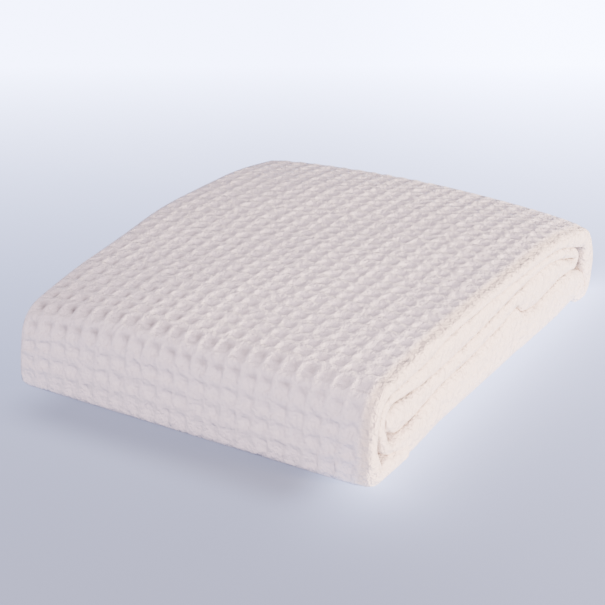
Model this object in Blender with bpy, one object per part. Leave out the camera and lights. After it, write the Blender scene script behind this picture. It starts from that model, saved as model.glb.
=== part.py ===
"""Waffle weave cotton blanket, folded: one cut length of cloth, one solid.

The two long sides are folded in to the middle and the cloth is folded once more along its
centre, which leaves a strip four layers thick. The strip is then folded flat over and over.

x runs across the strip, y along the block from its near fold to its far fold, z is up.
The origin is under the middle of the block, on the surface that it rests on.
"""
import math

import bpy

# Sizes in millimetres.
STRIP = 330.0          # width of the folded strip, one quarter of the cloth
HEIGHT = 85.0          # height of the block at its middle
CLOTH = 2.2            # thickness of the cloth
LAYERS = 13.0          # thickness of the four layers lying together
FLAP_GAP = 5.0         # space between the cut edges and the fold that wraps them
WAIST = 76.0           # half of the level middle part of the strip
REACH = 205.0          # distance from the middle of the block to its near and far folds
CENTRE = 1.1           # how far the middle of the block lies past the path's zero
STEP = 17.0            # largest turn between two sections, in degrees
SLIGHT = 9.0           # largest turn that one section in its middle makes, in degrees
WRAP_STEPS = 6         # facets round the centre fold of the strip
TURN_STEPS = 3         # facets round the two side folds of the strip

# How the block lies: what its top sinks at its two ends and at its corners, how far its far
# side bows out, and the corner round which the near foot is pressed square.
SINK = {"right": 1.5, "left": 3.1}
CORNERS = {("right", "near"): 0.0, ("right", "far"): 6.8,
           ("left", "near"): 11.8, ("left", "far"): 7.5}
BOW = 11.0
FOOT = (-193.5, 16.0)
FOOT_POWER = 5.0

# The path of the strip's middle, from the cut end below to the cut end in the middle.
# along and up place each corner, bend is its radius, depth the thickness of the strip
# there, shift how far the strip lies towards +x.
FOLDS = [
    # name               along     up   bend  depth  shift
    ("outer end",         171.0,   6.1,   0.0, 12.2, -1.3),
    ("under far",         140.0,   6.5,  60.0, 13.0, -1.3),
    ("near foot",        -203.0,   6.5,   9.5, 13.0,  0.2),
    ("near belly",       -202.0,  34.0,  90.0, 13.0,  1.0),
    ("near shoulder",    -196.0,  69.5,  21.0, 13.0,  1.0),
    ("top near",         -122.0,  75.8, 160.0, 13.0,  0.6),
    ("top middle",        -10.0,  78.6, 500.0, 13.0,  0.8),
    ("top far",           104.0,  77.0, 260.0, 13.0,  1.0),
    ("far shoulder",      194.0,  65.5,  20.0, 13.6,  0.6),
    ("far belly",         208.0,  38.0,  24.0, 15.0,  0.4),
    ("far foot",          198.0,  -2.2,   9.0, 13.6,  0.2),
    ("low step",          174.0,  21.5,  14.0, 13.6,  0.0),
    ("low flat",           80.0,  21.0,  60.0, 14.2,  0.0),
    ("hump foot",          58.0,  21.5,  20.0, 15.0, -0.2),
    ("hump top",           44.0,  26.0,  16.0, 24.0, -0.4),
    ("low near",          -37.0,  23.0, 100.0, 18.0, -0.4),
    ("low dip near",     -140.0,  20.4,  80.0, 13.0, -0.6),
    ("near turn low",    -187.0,  20.2,  14.0, 13.0, -0.8),
    ("near turn high",   -185.0,  57.0,  15.0, 13.0, -0.8),
    ("inner start",      -126.0,  60.6, 100.0, 13.0, -0.4),
    ("inner rise",        -88.0,  62.6, 100.0, 13.2, -0.4),
    ("inner middle",       10.0,  64.4, 200.0, 13.0, -0.4),
    ("inner step foot",   104.0,  62.7, 100.0, 13.0, -0.8),
    ("inner fall",        155.0,  54.8,  40.0, 13.0, -0.9),
    ("far nose high",     172.0,  52.6,   7.7, 12.4, -1.0),
    ("far nose low",      172.0,  37.0,   7.7, 12.4, -1.0),
    ("lower step",        104.0,  41.0,  80.0, 17.0, -0.6),
    ("lower step rise",    58.0,  44.0,  20.0, 17.0, -0.6),
    ("lower step top",     44.0,  50.0,  16.0, 13.0, -0.6),
    ("lower near",        -37.0,  42.0, 100.0, 13.5, -0.8),
    ("inner dip",        -140.0,  37.5,  80.0, 14.0, -1.0),
    ("inner end",        -175.0,  35.5,   0.0, 14.0, -1.0),
]


def square_to(start, end):
    """The direction at a right angle to the run from one point to another."""
    size = math.hypot(end[0] - start[0], end[1] - start[1])
    return ((start[1] - end[1]) / size, (end[0] - start[0]) / size)


def strip_path(folds):
    """Round each corner of the table; give (along, up, depth, shift, normal) for each section."""
    first = folds[0]
    last = folds[-1]
    sections = [(first[1], first[2], first[4], first[5], square_to(first[1:3], folds[1][1:3]))]
    for before, here, after in zip(folds, folds[1:], folds[2:]):
        a0 = math.atan2(before[2] - here[2], before[1] - here[1])
        a1 = math.atan2(after[2] - here[2], after[1] - here[1])
        corner = (a1 - a0 + math.pi) % (2 * math.pi) - math.pi
        turn = math.pi - abs(corner)
        reach = here[3] / math.sin(abs(corner) / 2)
        centre = (here[1] + reach * math.cos(a0 + corner / 2),
                  here[2] + reach * math.sin(a0 + corner / 2))
        side = math.copysign(1.0, corner)
        start = a0 - side * math.pi / 2
        steps = math.ceil(math.degrees(turn) / STEP)
        parts = [i / steps for i in range(steps + 1)]
        if math.degrees(turn) < SLIGHT:
            parts = [0.5]
        for part in parts:
            out = (math.cos(start - side * turn * part), math.sin(start - side * turn * part))
            sections.append((centre[0] + here[3] * out[0], centre[1] + here[3] * out[1],
                             here[4], here[5], (side * out[0], side * out[1])))
    sections.append((last[1], last[2], last[4], last[5], square_to(folds[-2][1:3], last[1:3])))
    return sections


def arc(x, w, radius, side, start, steps):
    """Points inside a half turn of the strip's profile, from below or from above."""
    angles = [math.pi * i / steps for i in range(1, steps)]
    return [(x + side * radius * math.sin(a), w + start * radius * math.cos(a)) for a in angles]


def strip_profile(depth):
    """Middle line of the cloth across the strip, as (x, w), w out of the strip's middle."""
    pitch = (LAYERS - CLOTH) / 3
    spread = (depth - CLOTH) / (LAYERS - CLOTH)
    wrap_x = STRIP / 2 - 1.5 * pitch - CLOTH / 2
    turn_x = STRIP / 2 - 0.5 * pitch - CLOTH / 2
    flap_x = wrap_x - FLAP_GAP
    flap = [flap_x, WAIST, -WAIST, -turn_x]
    face = [-turn_x, -WAIST, WAIST, wrap_x]
    points = [(x, 0.5 * pitch) for x in flap]
    points += arc(-turn_x, pitch, 0.5 * pitch, -1, -1, TURN_STEPS)
    points += [(x, 1.5 * pitch) for x in face]
    points += arc(wrap_x, 0.0, 1.5 * pitch, 1, 1, WRAP_STEPS)
    points += [(x, -1.5 * pitch) for x in reversed(face)]
    points += arc(-turn_x, -pitch, 0.5 * pitch, -1, -1, TURN_STEPS)
    points += [(x, -0.5 * pitch) for x in reversed(flap)]
    return [(x, w * spread) for x, w in points]


def offset_line(points, distance):
    """The same line moved sideways, its corners mitred."""
    moved = []
    for i, (x, w) in enumerate(points):
        x0, w0 = points[max(i - 1, 0)]
        x1, w1 = points[min(i + 1, len(points) - 1)]
        into = math.hypot(x - x0, w - w0) or 1.0
        out = math.hypot(x1 - x, w1 - w) or 1.0
        tx = (x - x0) / into + (x1 - x) / out
        tw = (w - w0) / into + (w1 - w) / out
        size = tx * tx + tw * tw
        stretch = (2.0 if 0 < i < len(points) - 1 else 1.0) * distance / size
        moved.append((x - tw * stretch, w + tx * stretch))
    return moved


def settle(x, y, z):
    """Move a point as the pile lies: its near foot square, its ends sunk, its far side bowed."""
    into = (max(0.0, FOOT[0] - y), max(0.0, FOOT[1] - z))
    size = math.hypot(*into)
    if min(into) > 0.0:
        grow = sum((part / size) ** FOOT_POWER for part in into) ** (-1 / FOOT_POWER) - 1
        y -= into[0] * grow
        z -= into[1] * grow
    side = "right" if x > 0.0 else "left"
    half = "far" if y > 0.0 else "near"
    out_x = min(1.0, abs(x) / (STRIP / 2))
    out_y = min(1.0, abs(y) / REACH)
    sink = SINK[side] * out_x ** 2.5 + CORNERS[side, half] * (out_x * out_y) ** 2
    z = max(0.0, z - sink * z / HEIGHT)
    y -= BOW * out_x ** 2 * max(0.0, y / REACH) ** 3
    return (x / 1000, (y - CENTRE) / 1000, z / 1000)


def place(section, point):
    """Put a point of the strip's profile on the path."""
    along, up, _, shift, normal = section
    return settle(point[0] + shift, along + normal[0] * point[1], up + normal[1] * point[1])


def blanket_mesh():
    """Both faces of the cloth along the whole path, closed at its four cut edges."""
    path = strip_path(FOLDS)
    vertices = []
    for section in path:
        middle = strip_profile(section[2])
        for distance in (CLOTH / 2, -CLOTH / 2):
            for point in offset_line(middle, distance):
                vertices.append(place(section, point))
    across = len(strip_profile(LAYERS))
    ring = 2 * across
    faces = []
    for i in range(len(path) - 1):
        a = i * ring
        b = a + ring
        for j in range(across - 1):
            faces.append((a + j, a + j + 1, b + j + 1, b + j))
            k = j + across
            faces.append((a + k, b + k, b + k + 1, a + k + 1))
        faces.append((a, b, b + across, a + across))
        e = across - 1
        faces.append((a + e, a + e + across, b + e + across, b + e))
    for j in range(across - 1):
        faces.append((j, j + across, j + 1 + across, j + 1))
        m = (len(path) - 1) * ring + j
        faces.append((m, m + 1, m + across + 1, m + across))
    mesh = bpy.data.meshes.new("blanket")
    mesh.from_pydata(vertices, [], faces)
    mesh.validate()
    return mesh


for old in list(bpy.data.objects):
    bpy.data.objects.remove(old, do_unlink=True)

cotton = bpy.data.materials.new("cotton_waffle")
cotton.use_nodes = True
surface = cotton.node_tree.nodes["Principled BSDF"]
surface.inputs["Base Color"].default_value = (0.80, 0.75, 0.74, 1.0)
surface.inputs["Roughness"].default_value = 0.9

blanket = bpy.data.objects.new("blanket", blanket_mesh())
blanket.data.materials.append(cotton)
bpy.context.scene.collection.objects.link(blanket)
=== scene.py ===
import math

import bpy
import numpy as np
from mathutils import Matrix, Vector


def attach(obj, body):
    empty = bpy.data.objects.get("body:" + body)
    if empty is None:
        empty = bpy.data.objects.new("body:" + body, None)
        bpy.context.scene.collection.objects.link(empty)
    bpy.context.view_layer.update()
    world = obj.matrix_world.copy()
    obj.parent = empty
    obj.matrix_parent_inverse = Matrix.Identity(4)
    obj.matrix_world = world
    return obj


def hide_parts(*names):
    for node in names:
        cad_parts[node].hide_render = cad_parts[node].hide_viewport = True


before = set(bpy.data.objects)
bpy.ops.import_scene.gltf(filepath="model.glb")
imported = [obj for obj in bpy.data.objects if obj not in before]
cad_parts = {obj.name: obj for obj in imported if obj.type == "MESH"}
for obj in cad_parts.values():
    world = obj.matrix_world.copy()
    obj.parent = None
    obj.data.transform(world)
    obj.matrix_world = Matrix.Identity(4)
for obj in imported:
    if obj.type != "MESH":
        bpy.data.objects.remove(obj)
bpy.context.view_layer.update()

# The blanket: one cut length of waffle weave cotton, folded along into a strip four layers
# thick, and the strip turned flat over itself. Every point of the cloth is placed from its
# distance across and along the cut length, and the waffle stands in the mesh where it shows.
CELL = 15.0            # one square of the waffle, mm
STRIP = 330.0          # width of the folded strip
CLOTH = 2.2            # thickness of the cloth
LAYERS = 13.0          # depth of the four layers where they lie flat
FLAP_GAP = 5.0         # space between the cut sides and the fold that wraps them
NOSE = 151.0           # where the centre fold starts to turn over, at the smooth end
HEIGHT = 85.0          # height of the block at its middle
REACH = 205.0          # from the middle of the block to its near and far folds
CENTRE = 1.1           # how far the middle of the block lies past the path's zero

# Each turn of the strip: where its middle goes, how round it is and how deep the layers lie.
# The rest is how they lie at the smooth end: how far out they reach, which way the strip's
# outer face looks, from where to where they puff, and how far they hang over the layers under
# them. From and to are heights, but where the face looks aside they are out from the middle.
FOLDS = [
    # name               along     up   bend  depth shift   face     from     to  hang
    ("outer end",        176.0,   6.0,   0.0, 12.0, -18.0, "down",     0.0,  11.0,  0.0),
    ("under far",        140.0,   6.5,  60.0, 13.0, -18.0, "down",     0.0,  11.0,  0.0),
    ("under near",      -126.0,   6.5,  60.0, 13.0, -18.0, "down",     0.0,  11.0,  0.0),
    ("under foot",      -152.0,   6.5,  60.0, 13.0,   3.2, "down",     0.0,  12.2,  0.0),
    ("near foot",       -204.0,   6.5,   9.5, 13.0,   3.4, "aside",   -9.0,   6.5,  0.0),
    ("near belly",      -202.0,  34.0,  90.0, 13.0,   1.0, "aside",   -3.8,   6.6,  0.0),
    ("near shoulder",   -196.0,  69.5,  21.0, 13.0,   1.0, "aside",   -4.5,   6.5,  0.0),
    ("top near",        -122.0,  75.8, 160.0, 13.0,   0.6, "up",      67.2,  82.3,  0.0),
    ("top rise",         -84.0,  77.3, 200.0, 13.0,   0.6, "up",      74.3,  84.1,  0.0),
    ("top middle",       -10.0,  78.6, 500.0, 13.0,   0.8, "up",      75.2,  85.1,  0.0),
    ("top far",          104.0,  77.0, 260.0, 13.0,   1.0, "up",      74.3,  84.2,  0.0),
    ("far brow",         131.0,  74.6, 100.0, 13.0,   1.0, "up",      70.2,  82.6,  0.0),
    ("far shoulder",     194.0,  65.5,  20.0, 13.6,   0.6, "aside",  -12.2,   6.8,  0.0),
    ("far belly",        208.0,  38.0,  24.0, 15.0,   0.4, "aside",  -20.6,   7.4,  0.0),
    ("far foot",         199.9,   6.9,   7.3, 13.6,   0.2, "aside",   -6.8,   6.8,  0.0),
    ("far heel",         185.2,   6.9,   7.3, 13.6,   0.2, "aside",   -6.8,  10.5,  9.0),
    ("low step",         185.2,  21.7,   7.3, 13.6,   0.0, "down",    14.9,  30.5, 10.0),
    ("low fall",         165.0,  21.5,  40.0, 13.6,   0.0, "down",    12.4,  36.2,  8.0),
    ("low far",          131.0,  21.3,  60.0, 14.4,   0.0, "down",    12.0,  37.8, 11.0),
    ("low dip",          104.0,  21.1,  80.0, 14.2,   0.0, "down",    12.0,  34.6, 11.0),
    ("low flat",          80.0,  21.0,  60.0, 14.2,   0.0, "down",    12.0,  32.0, 11.0),
    ("hump foot",         57.0,  21.5,  20.0, 15.0,  -0.2, "down",    12.0,  34.6, 11.0),
    ("hump top",          38.0,  26.0,  16.0, 24.0,  -0.4, "down",    12.0,  47.0, 11.0),
    ("low middle",        15.0,  24.5,  60.0, 21.0,  -0.4, "down",    12.0,  41.2, 11.0),
    ("low near",         -37.0,  23.0, 100.0, 18.0,  -0.4, "down",    12.0,  35.4, 11.0),
    ("low rise",         -95.0,  22.0, 120.0, 16.0,  -0.4, "down",    12.0,  33.4, 11.0),
    ("low dip near",    -146.0,  20.4,  80.0, 13.0,   2.4, "down",    12.4,  25.6, 12.0),
    ("near turn low",   -187.0,  20.2,  14.0, 13.0,   0.8, "aside",   -3.8,   6.4,  0.0),
    ("near turn",       -186.0,  38.6,  40.0, 13.0,  -0.4, "aside",   -2.2,   9.6,  0.0),
    ("near turn high",  -185.0,  57.0,  15.0, 13.0,  -0.8, "aside",   -2.2,   9.0,  0.0),
    ("inner start",     -126.0,  61.0, 100.0, 13.0,  -0.4, "up",      50.2,  65.4,  0.0),
    ("inner rise",       -88.0,  62.8, 100.0, 13.6,  -0.4, "up",      50.2,  72.0,  0.0),
    ("inner near",       -40.0,  64.0, 200.0, 13.6,  -0.4, "up",      52.6,  74.2,  0.0),
    ("inner middle",       0.0,  64.8, 200.0, 13.4,  -0.4, "up",      56.6,  74.3,  0.0),
    ("inner step top",    42.0,  64.6, 120.0, 13.0,  -0.4, "up",      62.2,  74.0,  0.0),
    ("inner step",        62.0,  64.2, 120.0, 13.0,  -0.6, "up",      64.0,  73.9,  0.0),
    ("inner step foot",  104.0,  62.9, 100.0, 13.0,  -0.8, "up",      63.6,  73.4,  0.0),
    ("inner brow",       131.0,  59.8,  60.0, 13.0,  -0.8, "up",      59.2,  69.2,  0.0),
    ("inner fall",       155.0,  55.2,  40.0, 13.0,  -0.9, "up",      52.0,  62.2,  0.0),
    ("far nose high",    172.0,  52.8,   7.8, 12.4,  -1.0, "aside",   -4.9,   5.2,  0.0),
    ("far nose low",     172.0,  37.0,   7.8, 12.4,  -1.0, "aside",  -10.0,   0.2,  0.0),
    ("lower fall",       155.0,  37.6,  60.0, 13.0,  -0.9, "down",    38.6,  49.4,  0.0),
    ("lower brow",       131.0,  39.5,  60.0, 13.0,  -0.8, "down",    39.0,  58.0,  0.0),
    ("lower step",       104.0,  41.0,  80.0, 17.0,  -0.6, "down",    35.6,  62.6,  0.0),
    ("lower step foot",   80.0,  41.5,  60.0, 18.0,  -0.6, "down",    33.0,  62.8,  0.0),
    ("lower step rise",   61.0,  44.0,  20.0, 17.0,  -0.6, "down",    35.8,  63.0,  0.0),
    ("lower step top",    43.5,  50.0,  16.0, 13.0,  -0.6, "down",    48.0,  61.2,  0.0),
    ("lower middle",      15.0,  46.5,  60.0, 13.0,  -0.8, "down",    42.2,  57.0,  0.0),
    ("lower near",       -37.0,  42.0, 100.0, 13.5,  -0.8, "down",    36.4,  51.6,  0.0),
    ("lower fall near",  -95.0,  40.5, 100.0, 13.5,  -0.9, "down",    34.4,  49.2,  0.0),
    ("inner dip",       -140.0,  37.5,  80.0, 14.0,  -1.0, "down",    27.0,  48.2,  0.0),
    ("inner tip",       -164.0,  37.5,  60.0, 13.6,  -1.0, "down",    26.4,  49.6,  0.0),
    ("inner end",       -177.5,  37.5,   0.0, 13.0,  -1.0, "down",    37.0,  50.0,  0.0),
]

# The path of the strip's middle: straight runs and bends, sampled every millimetre. The bends
# are eased a little, and the other columns change softly from one turn to the next.
BEND_STEP = 1.5        # longest step round a bend


def distances(points):
    """How far each point of a line lies along it."""
    return np.concatenate([[0.0], np.cumsum(np.hypot(*np.diff(points, axis=0).T))])


def averaged(values, weights, **padding):
    """The same row of values, each one averaged with its neighbours."""
    return np.convolve(np.pad(values, len(weights) // 2, **padding), weights, mode="valid")


def laid(turn):
    """A turn's place, depth and shift, then its lift, fan and hang at the smooth end.

    lift is how far the middle of the layers moves out there, and fan is how deep they lie,
    both to a tenth of a millimetre.
    """
    _, place, up, _, depth, shift, looks, low, high, hang = turn
    outer, inner = high, low
    if looks == "up":
        outer, inner = high - up, low - up
    if looks == "down":
        outer, inner = up - low, up - high
    return place, up, depth, shift, round((outer + inner) / 2, 1), round(outer - inner, 1), hang


points = [laid(FOLDS[0])]
for before, here, after in zip(FOLDS, FOLDS[1:], FOLDS[2:]):
    _, here_y, here_z, bend = here[:4]
    a0 = math.atan2(before[2] - here_z, before[1] - here_y)
    a1 = math.atan2(after[2] - here_z, after[1] - here_y)
    corner = (a1 - a0 + math.pi) % (2 * math.pi) - math.pi
    turn = math.pi - abs(corner)
    reach = bend / math.sin(abs(corner) / 2)
    way = math.copysign(1.0, corner)
    steps = max(2, math.ceil(bend * turn / BEND_STEP))
    for i in range(steps + 1):
        angle = a0 - way * math.pi / 2 - way * turn * i / steps
        points.append((here_y + reach * math.cos(a0 + corner / 2) + bend * math.cos(angle),
                       here_z + reach * math.sin(a0 + corner / 2) + bend * math.sin(angle),
                       *laid(here)[2:]))
points.append(laid(FOLDS[-1]))
points = np.array(points)
reached = distances(points[:, :2])
length = reached[-1]
at = np.linspace(0.0, length, int(length) + 1)
path = np.stack([np.interp(at, reached, column) for column in points.T], 1)
little = [0.1, 0.2, 0.4, 0.2, 0.1]
soft = np.hanning(13)[1:-1]
soft /= soft.sum()
for k in range(2):
    path[:, k] = averaged(path[:, k], little, mode="reflect", reflect_type="odd")
for k in range(2, 7):
    path[:, k] = averaged(path[:, k], soft, mode="edge")
heading = np.gradient(path[:, :2], at, axis=0)
heading /= np.hypot(heading[:, 0], heading[:, 1])[:, None]
bending = np.abs(np.gradient(np.unwrap(np.arctan2(heading[:, 1], heading[:, 0])), at))

# The strip's profile: the middle line of the cloth from one cut side to the other, with the
# distance gone across the cloth. w is how far out it lies from the middle of the strip.
SQUARED = 0.55         # the centre fold's shape: 1 is a half circle, less is squarer
ROUND = 25             # points round each of the three folds
pitch = (LAYERS - CLOTH) / 3
wrap_x = STRIP / 2 - 1.5 * pitch - CLOTH / 2
turn_x = STRIP / 2 - 0.5 * pitch - CLOTH / 2
flap_x = wrap_x - FLAP_GAP
sweep = np.linspace(0, np.pi, ROUND)
bow = np.sin(sweep) ** SQUARED
lie = np.copysign(np.abs(np.cos(sweep)) ** SQUARED, np.cos(sweep))
side_fold = -turn_x - 0.5 * pitch * np.sin(sweep)
profile = np.concatenate([
    [[flap_x, 0.5 * pitch]],
    np.stack([side_fold, pitch - 0.5 * pitch * np.cos(sweep)], 1),
    np.stack([wrap_x + 1.5 * pitch * bow, 1.5 * pitch * lie], 1),
    np.stack([side_fold, -pitch - 0.5 * pitch * np.cos(sweep)], 1),
    [[flap_x, -0.5 * pitch]],
])
gone = distances(profile)
width = gone[-1]
starts = {"turn": gone[1], "face": gone[ROUND], "wrap": gone[ROUND + 1],
          "back": gone[2 * ROUND], "turn_back": gone[2 * ROUND + 1], "flap": gone[3 * ROUND]}

# Marks across and along the cloth. The face that shows has one mark for each square, and the
# hidden layers have few. At the smooth end all four layers have their marks above each other,
# so that they bend alike.
FACE_MARKS = 22
TURN_STEPS = 4         # steps round each side fold
WRAP_STEPS = 10        # steps round the centre fold
SPLIT = 8              # finest split of one step between marks
marks = np.linspace(-turn_x, wrap_x, FACE_MARKS)
marks[-1] = NOSE
few = marks[[0, 4, 9, 13, 17, 18, 19, 20, 21]]
across = np.concatenate([
    [0.0],
    flap_x - few[:0:-1],
    np.linspace(starts["turn"], starts["face"], TURN_STEPS + 1)[:-1],
    starts["face"] + marks + turn_x,
    np.linspace(starts["wrap"], starts["back"], WRAP_STEPS + 1),
    starts["back"] + wrap_x - few[:0:-1],
    np.linspace(starts["turn_back"], starts["flap"], TURN_STEPS + 1)[:-1],
    starts["flap"] + few + turn_x,
    [width],
])
first_face = len(few) + TURN_STEPS
first_wrap = first_face + FACE_MARKS
along = np.linspace(0, length, round(length / CELL) + 1)
rows = len(along) - 1

# A row is bent where the path turns, within 9 mm of its middle, on less than a 50 mm radius.
row_middle = np.interp(0.5 * (along[:-1] + along[1:]), at, np.arange(len(at))).astype(int)
bent = [bending[max(0, k - 9):k + 9].max() > 1 / 50 for k in row_middle]

# The face shows from where the strip leaves the floor at the near foot, over the top, to where
# it lands at the far foot. The waffle runs a little past both.
leaves = at[np.argmax(path[:, 1] > 8.0)]
lands = at[np.argmax((at > leaves + 300.0) & (path[:, 1] < 14.0))]
first_row = int(np.searchsorted(along, leaves)) - 3
last_row = int(np.searchsorted(along, lands)) + 1


def split(side, i, j):
    """How finely the patch between four marks is divided, across and along."""
    if side > 0 and first_face <= i < first_wrap and first_row <= j < last_row:
        return SPLIT if i < first_wrap - 2 else SPLIT // 2, SPLIT
    if side > 0 and first_wrap <= i < first_wrap + WRAP_STEPS:
        return 1, SPLIT if bent[j] else SPLIT // 2
    return 1, SPLIT // 2 if bent[j] else 1


def patches():
    """Both sides of every patch between four marks: its corner, and its divisions."""
    for side in (1, -1):
        for i in range(len(across) - 1):
            for j in range(rows):
                ku, kv = split(side, i, j)
                yield side, SPLIT * i, SPLIT * j, SPLIT // ku, SPLIT // kv


# Points are counted in eighths of the step between two marks, so that fine and coarse patches
# share the points on their borders.
index = {}
for side, corner_a, corner_b, step_a, step_b in patches():
    for a in range(corner_a, corner_a + SPLIT + 1, step_a):
        for b in range(corner_b, corner_b + SPLIT + 1, step_b):
            index.setdefault((side, a, b), len(index))


def edge(side, a0, b0, a1, b1):
    """The points that exist from one corner to the next, without the last."""
    da = (a1 > a0) - (a1 < a0)
    db = (b1 > b0) - (b1 < b0)
    found = []
    while (a0, b0) != (a1, b1):
        if (side, a0, b0) in index:
            found.append(index[side, a0, b0])
        a0 += da
        b0 += db
    return found


def rim(a0, b0, a1, b1):
    """The narrow face that closes the cloth along a piece of its cut edge."""
    return (edge(1, a0, b0, a1, b1) + [index[1, a1, b1]]
            + edge(-1, a1, b1, a0, b0) + [index[-1, a0, b0]])


faces = []
for side, corner_a, corner_b, step_a, step_b in patches():
    for a in range(corner_a, corner_a + SPLIT, step_a):
        for b in range(corner_b, corner_b + SPLIT, step_b):
            c = a + step_a
            d = b + step_b
            ring = (edge(side, a, b, c, b) + edge(side, c, b, c, d)
                    + edge(side, c, d, a, d) + edge(side, a, d, a, b))
            faces.append(ring if side > 0 else ring[::-1])
end_a = SPLIT * (len(across) - 1)
end_b = SPLIT * rows
for b in range(0, end_b, SPLIT):
    faces.append(rim(0, b, 0, b + SPLIT))
    faces.append(rim(end_a, b, end_a, b + SPLIT)[::-1])
for a in range(0, end_a, SPLIT):
    faces.append(rim(a, 0, a + SPLIT, 0)[::-1])
    faces.append(rim(a, end_b, a + SPLIT, end_b))

# Every point in its place on the path. Towards the smooth end the layers leave their flat lie,
# puff out and lift, the centre fold hangs over what lies under it, and the cut end draws back.
PUFF = (105, 45)       # where the layers start to puff, and over what distance
TURN_OVER = 7          # over what distance past the nose the fold is fully turned
DRAWN_BACK = 5.0       # how far the cut end inside draws back
NEARBY = 0.3           # distance to both sides from which the cloth's slope is taken


def eased(value):
    """0 up to 0, 1 from 1 on, and a smooth step between them."""
    value = np.clip(value, 0, 1)
    return value * value * (3 - 2 * value)


def unit(a, b):
    """Both parts of a direction, scaled so that it is 1 long."""
    size = np.hypot(a, b)
    return a / size, b / size


keys = np.array(list(index))
out = keys[:, 0].astype(float)
u = np.interp(keys[:, 1] / SPLIT, np.arange(len(across)), across)
v = np.interp(keys[:, 2] / SPLIT, np.arange(len(along)), along)
y, z, depth, shift, lift, fan, hang = (np.interp(v, at, column) for column in path.T)
ny, nz = unit(-np.interp(v, at, heading[:, 1]), np.interp(v, at, heading[:, 0]))
x = np.interp(u, gone, profile[:, 0])
flat_w = np.interp(u, gone, profile[:, 1])
near_end = eased((x - PUFF[0]) / PUFF[1])
nose = eased((x - NOSE) / TURN_OVER)
spread = (depth + (fan - depth) * near_end - CLOTH) / (LAYERS - CLOTH)
w = flat_w * spread + lift * near_end + hang * nose * np.clip(flat_w / (1.5 * pitch), 0, 1)
y = y - DRAWN_BACK * near_end * np.clip(1 - (length - v) / 20, 0, 1)
tx, tw = (np.interp(u + NEARBY, gone, row) - np.interp(u - NEARBY, gone, row)
          for row in profile.T)
nx, nw = unit(-tw * spread, tx)

# The waffle: square pits between round ridges, no two alike, in rows that wander a little. One
# wall of a pit is steeper than the other. The pits are narrower where the cloth lies level, and
# deeper where it is stretched round the near shoulder.
RIDGE = 1.0            # how far the ridges stand out
PIT = 2.4              # how far the pits lie below the ridges
STRETCHED_PIT = 1.6    # how much deeper they are on the near shoulder
DEEPEST = 1.9          # the most a pit goes in, which leaves 0.3 mm of cloth
SHOULDER = (-198, 68, 30)      # along, up, and how far the stretch reaches
SQUARES = 200          # more than the cloth has in either direction
rng = np.random.default_rng(11)
deep = rng.uniform(0.62, 1.18, (SQUARES, SQUARES))
lean = rng.normal(0, 0.09, (2, SQUARES, SQUARES))
cu = (u - starts["face"]) / CELL + 40      # 40 and 10 keep the counts above zero
cv = v / CELL + 10
cu = cu + 0.05 * np.sin(cv * 0.61 + 0.4) + 0.04 * np.sin(cv * 0.23 + cu * 0.31)
cv = cv + 0.05 * np.sin(cu * 0.47 + 1.3) + 0.05 * np.sin(cu * 0.19 - cv * 0.27)
iu = np.floor(cu).astype(int)
iv = np.floor(cv).astype(int)
su = 2 * (cu - iu) - 1 + lean[0, iu, iv] * 4 * (cu - iu) * (1 - cu + iu)
sv = 2 * (cv - iv) - 1 + lean[1, iu, iv] * 4 * (cv - iv) * (1 - cv + iv)
deep = deep[iu, iv]
level = np.clip(nz * nw, 0, 1)
stretched = np.exp(-((y - SHOULDER[0]) ** 2 + (z - SHOULDER[1]) ** 2) / SHOULDER[2] ** 2)
hollow = eased((0.86 - np.abs(su)) / np.where(su > 0, 0.32, 0.62))
hollow = hollow * eased((0.78 - 0.16 * level - np.abs(sv))
                        / (np.where(sv > 0, 0.46, 0.60) - 0.15 * level))
relief = np.maximum(RIDGE - (PIT + STRETCHED_PIT * stretched) * deep * hollow, -DEEPEST)
on_face = np.clip((u - starts["face"]) / 6, 0, 1) * np.clip((starts["wrap"] - u) / 8, 0, 1)
on_rows = (np.clip((v - along[first_row]) / 20, 0, 1)
           * np.clip((along[last_row] - v) / 20, 0, 1))
shown = np.where(out > 0, on_face * on_rows, 0.0)
stand = CLOTH / 2 + relief * shown

# Painted shade: the cloth's colour is darkened inside its pits, where they lie in shade. A spot on
# one wall where it lies level, more towards the near left corner, and a crescent low in each pit
# on the near shoulder. It fades towards the smooth end.
NEAR_LEFT = 2.0        # how much more there is at the near left corner
CRESCENT = 1.7         # how strong the crescents are beside the spots


def spot(u_middle, v_middle, u_size, v_size):
    """A soft spot in every square, 1 at its middle."""
    return np.exp(-((su - u_middle) / u_size) ** 2 - ((sv - v_middle) / v_size) ** 2)


nearer = np.clip(0.4 - y / 200, 0, 1) * np.clip(0.5 - x / 160, 0, 1)
painted_shade_in_pits = spot(0.56, 0.16, 0.32, 0.38) * level * (1 + NEAR_LEFT * nearer)
painted_shade_in_pits = painted_shade_in_pits + (CRESCENT * stretched * np.clip(2.5 * level, 0.15, 1)
                   * spot(0.12, 0.40, 0.6, 0.24))
painted_shade_in_pits = painted_shade_in_pits * shown * deep * np.clip((160 - x) / 40, 0.3, 1)

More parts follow.
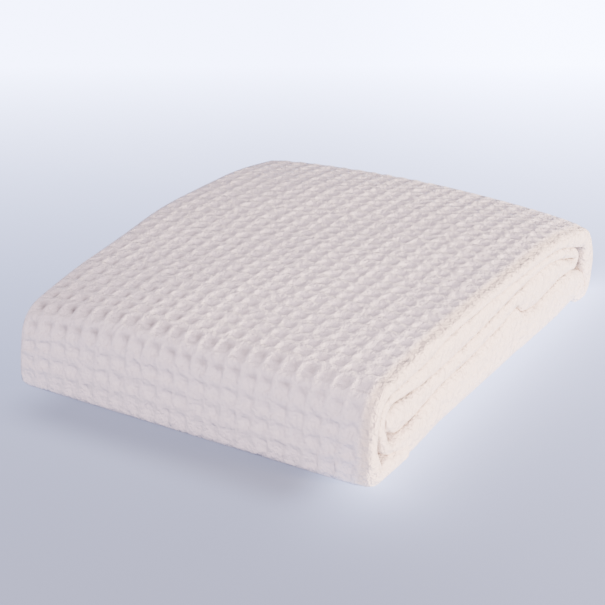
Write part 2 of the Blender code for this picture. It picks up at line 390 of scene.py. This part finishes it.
# The pile under its own weight: square at the near foot, sunk at the two ends and the
# corners, bowed out at the middle of its far side, a little wavy on top and a little crooked
# along its left edge.
FOOT = (-193.5, 16.0)  # the corner, along and up, round which the near foot is pressed
FOOT_POWER = 7         # 2 leaves it round, more makes it squarer
SINK = {"right": 1.5, "left": 3.1}
CORNER_SINK = {"right near": 0.0, "right far": 8.3, "left near": 11.8, "left far": 7.5}
FAR_BOW = 11.0         # how far the middle of the far side stands out past its ends
CROOKED = 3.4          # how far the left edge swings in and out
LEFT_IN = 2.0          # how far the near left corner is drawn in
TUCKED = 6.0           # how far the near foot is drawn in at the smooth end
px = x + shift * near_end + out * stand * nx
pw = w + out * stand * nw
py = y + ny * pw
pz = z + nz * pw
dy = np.minimum(py - FOOT[0], 0)
dz = np.minimum(pz - FOOT[1], 0)
round_off = np.maximum(np.hypot(dy, dz), 1e-6)
square = ((np.abs(dy) / round_off) ** FOOT_POWER + (np.abs(dz) / round_off) ** FOOT_POWER
          + 1e-9) ** (-1 / FOOT_POWER)
py = py + dy * (square - 1)
pz = pz + dz * (square - 1)
high = pz / HEIGHT
far_x = np.clip(px / (STRIP / 2), -1, 1)
far_y = np.clip(py / REACH, -1, 1)
at_right = np.where(far_y > 0, CORNER_SINK["right far"], CORNER_SINK["right near"]) * far_x ** 4
at_left = np.where(far_y > 0, CORNER_SINK["left far"], CORNER_SINK["left near"]) * far_x ** 2
drop = np.where(far_x > 0, SINK["right"], SINK["left"]) * np.abs(far_x) ** 2.5
drop = drop + far_y ** 2 * np.where(far_x > 0, at_right, at_left)
pz = pz - high * drop
pz = pz + high * (0.7 * np.sin(px / 61 + 0.8) * np.sin(py / 74 + 2.1)
                  + 0.4 * np.sin(px / 27 - py / 39))
left = np.clip(-far_x, 0, 1) ** 3
px = px - left * CROOKED * np.sin((py + 30) / 41) * np.exp(-((py + 30) / 110) ** 2)
px = px + left * LEFT_IN * np.clip(-far_y, 0, 1) ** 6
py = py - FAR_BOW * far_x ** 2 * np.clip(py / REACH, 0, 1.05) ** 3 - CENTRE
px = px - TUCKED * near_end * np.clip((-198 - py) / 13, 0, 1) ** 2 * np.clip(1 - pz / 24, 0, 1)
pz = np.maximum(pz, 0.0)
verts = np.stack([px, py, pz], 1) / 1000

# The mesh holds where the waffle is relief, where the smooth end is and the painted shade in the
# pits, for the cotton to read.
mesh = bpy.data.meshes.new("blanket_cloth")
mesh.from_pydata(verts.tolist(), [], faces)
mesh.shade_smooth()
uv = mesh.uv_layers.new(name="UVMap")
order = np.zeros(len(mesh.loops), np.int32)
mesh.loops.foreach_get("vertex_index", order)
uv.data.foreach_set("uv", np.stack([cu[order], cv[order]], 1).ravel().astype(np.float32))
for name, values in (("in_mesh", shown), ("at_end", nose), ("painted_pit_shade", painted_shade_in_pits)):
    layer = mesh.attributes.new(name, "FLOAT", "POINT")
    layer.data.foreach_set("value", values.astype(np.float32))
blanket = bpy.data.objects.new("blanket_cloth", mesh)
bpy.context.scene.collection.objects.link(blanket)
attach(blanket, "root")
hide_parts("blanket")

# The cotton: matt, with a soft nap. The waffle is drawn as bump where the mesh has none, and
# threads and uneven spinning lie over it. At its smooth end the cloth is crumpled and its colour
# is warmer, painted warm light; inside its pits the colour is darkened, painted shade.
FACE_COLOUR = (0.80, 0.768, 0.812, 1.0)
# painted warm light: the smooth end, lit by the warm low lamp, is given a warmer colour
END_COLOUR_PAINTED_LIGHT = (0.85, 0.755, 0.67, 1.0)
# painted shade: how much the colour is darkened inside the pits
PAINTED_SHADE_DEPTH = 0.26        # how much darker the cloth is inside its pits
THREADS = 9            # threads in one square
BUMP = 0.0022          # metres of bump for a height of 1
SLUB = 1.8             # height of the uneven spinning
CRUMPLE = 1.8          # height of the crumple at the smooth end


def fill(tree, node, inputs):
    """Give a node its inputs, each one a value or the output of another node."""
    for name, value in inputs.items():
        if isinstance(value, bpy.types.NodeSocket):
            tree.links.new(value, node.inputs[name])
        else:
            node.inputs[name].default_value = value
    return node


def add(tree, kind, inputs, **settings):
    """A new shader node with its settings and its inputs."""
    node = tree.nodes.new("ShaderNode" + kind)
    for name, setting in settings.items():
        setattr(node, name, setting)
    return fill(tree, node, inputs)


def calc(tree, operation, *values):
    """A math node on numbers and outputs of other nodes; gives its output."""
    return add(tree, "Math", dict(enumerate(values)), operation=operation).outputs[0]


def vector_calc(tree, operation, *values):
    """A math node on places and directions; gives its outputs."""
    return add(tree, "VectorMath", dict(enumerate(values)), operation=operation).outputs


def project(tree, place, direction):
    """How far a place lies along a direction."""
    return vector_calc(tree, "DOT_PRODUCT", place, direction)["Value"]


def ease(tree, value, start, stop):
    """0 before start, 1 past stop, and a smooth step between them."""
    inputs = {"Value": value, "From Min": start, "From Max": stop}
    return add(tree, "MapRange", inputs, interpolation_type="SMOOTHSTEP").outputs["Result"]


def painted(tree, name):
    """What the mesh holds under a name at each of its points."""
    return add(tree, "Attribute", {}, attribute_name=name).outputs["Fac"]


def uneven(tree, place, scale, detail, roughness):
    """Soft noise, from 0 to 1."""
    inputs = {"Vector": place, "Scale": scale, "Detail": detail, "Roughness": roughness}
    return add(tree, "TexNoise", inputs).outputs["Fac"]


cotton = bpy.data.materials.new("cotton_waffle")
cotton.use_nodes = True
cloth = cotton.node_tree
weave = add(cloth, "UVMap", {}).outputs["UV"]
own = add(cloth, "TexCoord", {}).outputs["Object"]

# A square's pit and its threads, each from one pattern across the cloth and one along it. part
# goes from 1 on the ridges to 0 in the middle of a square.
pit_sides = []
thread_sides = []
for direction in ((1.0, 0.0, 0.0), (0.0, 1.0, 0.0)):
    part = calc(cloth, "FRACT", project(cloth, weave, direction))
    part = calc(cloth, "ABSOLUTE", calc(cloth, "MULTIPLY_ADD", part, 2.0, -1.0))
    pit_sides.append(ease(cloth, part, 1.0, 0.14))
    finer = [2 * math.pi * THREADS * step for step in direction]
    thread_sides.append(calc(cloth, "SINE", project(cloth, weave, finer)))
pit = calc(cloth, "MULTIPLY", *pit_sides)
drawn = calc(cloth, "MULTIPLY", pit, calc(cloth, "SUBTRACT", 1.0, painted(cloth, "in_mesh")))
thread = calc(cloth, "MULTIPLY", *thread_sides)

# The bump: drawn pits, uneven spinning, threads, and crumple at the smooth end.
smooth_end = painted(cloth, "at_end")
crumple = calc(cloth, "SUBTRACT", uneven(cloth, own, 75.0, 3.0, 0.55), 0.5)
crumple = calc(cloth, "MULTIPLY", crumple, smooth_end)
height = calc(cloth, "MULTIPLY", drawn, -0.5)
height = calc(cloth, "MULTIPLY_ADD", uneven(cloth, own, 150.0, 2.0, 0.6), SLUB, height)
height = calc(cloth, "MULTIPLY_ADD", thread, 0.05, height)
height = calc(cloth, "MULTIPLY_ADD", crumple, CRUMPLE, height)
bump = add(cloth, "Bump", {"Strength": 1.0, "Distance": BUMP, "Height": height})

# The colour: painted warm light at the smooth end, painted shade inside the pits.
colour_with_painted_light = add(cloth, "Mix", {"A": FACE_COLOUR, "B": END_COLOUR_PAINTED_LIGHT, "Factor": smooth_end},
           data_type="RGBA").outputs["Result"]
painted_shade_factor = calc(cloth, "MULTIPLY_ADD", painted(cloth, "painted_pit_shade"), -PAINTED_SHADE_DEPTH, 1.0)
colour_with_painted_shade = add(cloth, "VectorMath", {0: colour_with_painted_light, "Scale": painted_shade_factor}, operation="SCALE")
fill(cloth, cloth.nodes["Principled BSDF"], {
    "Base Color": colour_with_painted_shade.outputs["Vector"],
    "Normal": bump.outputs["Normal"],
    "Roughness": 0.92,
    "Specular IOR Level": 0.2,
    "Sheen Weight": 0.3,
    "Sheen Roughness": 0.6,
})
mesh.materials.append(cotton)

# The floor: a wide plain surface, pale blue grey, not part of the blanket. Its own glow gives
# the smooth backdrop. It brightens towards the back and to the right, has a painted pool of light
# close beside the lit smooth end, and a painted shadow along the near and far folds.
AZIMUTH = math.radians(31.26)  # how far round to the right the block is seen from
BACKDROP = (-0.48, 0.72)       # the nearest and farthest places where the glow still changes
FOOTPRINT = (0.158, 0.195, 0.0)        # half the width and length of the block's foot
# painted light and shade on the floor: a pool of light beside the smooth end, a shadow along the
# folds
END_GLOW = 1.8         # how strong the glow is close beside the smooth end
FOLD_SHADE = 0.46      # how dark the shade is along the folds
bpy.ops.mesh.primitive_plane_add(size=14.0, location=(0, 0, 0))
floor = bpy.context.object
floor.name = "studio_floor"
paint = bpy.data.materials.new("studio_floor")
paint.use_nodes = True
plain = paint.node_tree
place = add(plain, "TexCoord", {}).outputs["Object"]

# Brighter towards the back and to the right.
behind = project(plain, place, (-math.sin(AZIMUTH), math.cos(AZIMUTH), 0.0))
behind = calc(plain, "MINIMUM", behind, BACKDROP[1])
behind = calc(plain, "MAXIMUM", behind, BACKDROP[0])
brightness = calc(plain, "MULTIPLY_ADD", behind, 1.3, 1.95)
brightness = calc(plain, "MULTIPLY_ADD", brightness, behind, -0.14)
brightness = calc(plain, "EXPONENT", brightness)
aside = project(plain, place, (math.cos(AZIMUTH), math.sin(AZIMUTH), 0.0))
aside = calc(plain, "MULTIPLY_ADD", ease(plain, aside, -0.05, 0.30), 0.36, 1.0)
brightness = calc(plain, "MULTIPLY", brightness, aside)

# How far a place lies from the block's foot, for the painted pool of light beside it and the
# painted shadow along it.
beyond = vector_calc(plain, "ABSOLUTE", place)[0]
beyond = vector_calc(plain, "SUBTRACT", beyond, FOOTPRINT)[0]
beyond = vector_calc(plain, "MAXIMUM", beyond, (0.0, 0.0, 0.0))[0]
gap = vector_calc(plain, "LENGTH", beyond)["Value"]
to_right = project(plain, place, (1.0, 0.0, 0.0))
# painted pool of light beside the lit smooth end
glow = calc(plain, "EXPONENT", calc(plain, "MULTIPLY", gap, -32.0))
glow = calc(plain, "MULTIPLY", glow, ease(plain, to_right, 0.09, 0.18))
brightness = calc(plain, "MULTIPLY_ADD", glow, END_GLOW, brightness)
# painted shadow along the folds
shade = calc(plain, "MULTIPLY", ease(plain, gap, 0.085, 0.036), ease(plain, to_right, 0.15, 0.105))
shade = calc(plain, "MULTIPLY", shade, ease(plain, to_right, -0.17, -0.10))
shade = calc(plain, "MULTIPLY_ADD", shade, -FOLD_SHADE, 1.0)
brightness = calc(plain, "MULTIPLY", brightness, shade)
fill(plain, plain.nodes["Principled BSDF"], {
    "Base Color": (0.11, 0.12, 0.13, 1.0),
    "Roughness": 0.9,
    "Specular IOR Level": 0.1,
    "Emission Color": (0.89, 1.0, 1.62, 1.0),
    "Emission Strength": brightness,
})
floor.data.materials.append(paint)

# The light: a warm soft lamp low on the right, which rakes over the top and fills the smooth
# end, a weaker one higher up in front, and a pale violet blue sky all round.
SKY_COLOUR = (0.87, 0.82, 1.0, 1.0)
LIGHT_REACH = 2.5      # from the middle of the block to each lamp, in metres
LIGHTS = [
    # name   azimuth  height  size  power  colour
    ("low",     95.0,    8.5,  0.6, 286.0, (1.0, 0.74, 0.60)),
    ("high",    22.0,   34.0,  0.5, 103.0, (1.0, 0.74, 0.75)),
]
world = bpy.data.worlds.new("studio")
bpy.context.scene.world = world
world.use_nodes = True
sky = world.node_tree
fill(sky, sky.nodes["Background"], {"Color": SKY_COLOUR, "Strength": 0.46})


def toward(azimuth, elevation):
    """The direction out from the block, from the front round to the right, and up."""
    return Vector((math.sin(azimuth) * math.cos(elevation),
                   -math.cos(azimuth) * math.cos(elevation), math.sin(elevation)))


for name, azimuth, elevation, size, power, colour in LIGHTS:
    lamp = bpy.data.lights.new(name, "AREA")
    lamp.shape = "DISK"
    lamp.size = size
    lamp.energy = power
    lamp.color = colour
    light = bpy.data.objects.new(name, lamp)
    bpy.context.scene.collection.objects.link(light)
    aim = toward(math.radians(azimuth), math.radians(elevation))
    light.location = aim * LIGHT_REACH + Vector((0, 0, 0.04))
    light.rotation_euler = aim.to_track_quat("Z", "Y").to_euler()

# The camera: a long lens, looking down at the near corner of the smooth end from the front
# right.
ELEVATION = math.radians(25.54)
DISTANCE = 1.6233      # metres from the target
TARGET = Vector((-0.0045, -0.0212, 0.0414))
SHIFT = (0.00268, 0.00553)     # how far it is then moved left and down, without turning
ROLL = math.radians(-0.18)
LENS = 113.90281       # mm, on a 36 mm sensor
back = toward(AZIMUTH, ELEVATION)
right = Vector((math.cos(AZIMUTH), math.sin(AZIMUTH), 0.0))
up = back.cross(right)
lens = bpy.data.cameras.new("camera")
lens.sensor_width = 36.0
lens.lens = LENS
camera = bpy.data.objects.new("camera", lens)
bpy.context.scene.collection.objects.link(camera)
camera.location = TARGET + back * DISTANCE - right * SHIFT[0] - up * SHIFT[1]
camera.rotation_euler = (-back).to_track_quat("-Z", "Y").to_euler()
camera.rotation_euler.rotate_axis("Z", ROLL)
bpy.context.scene.camera = camera
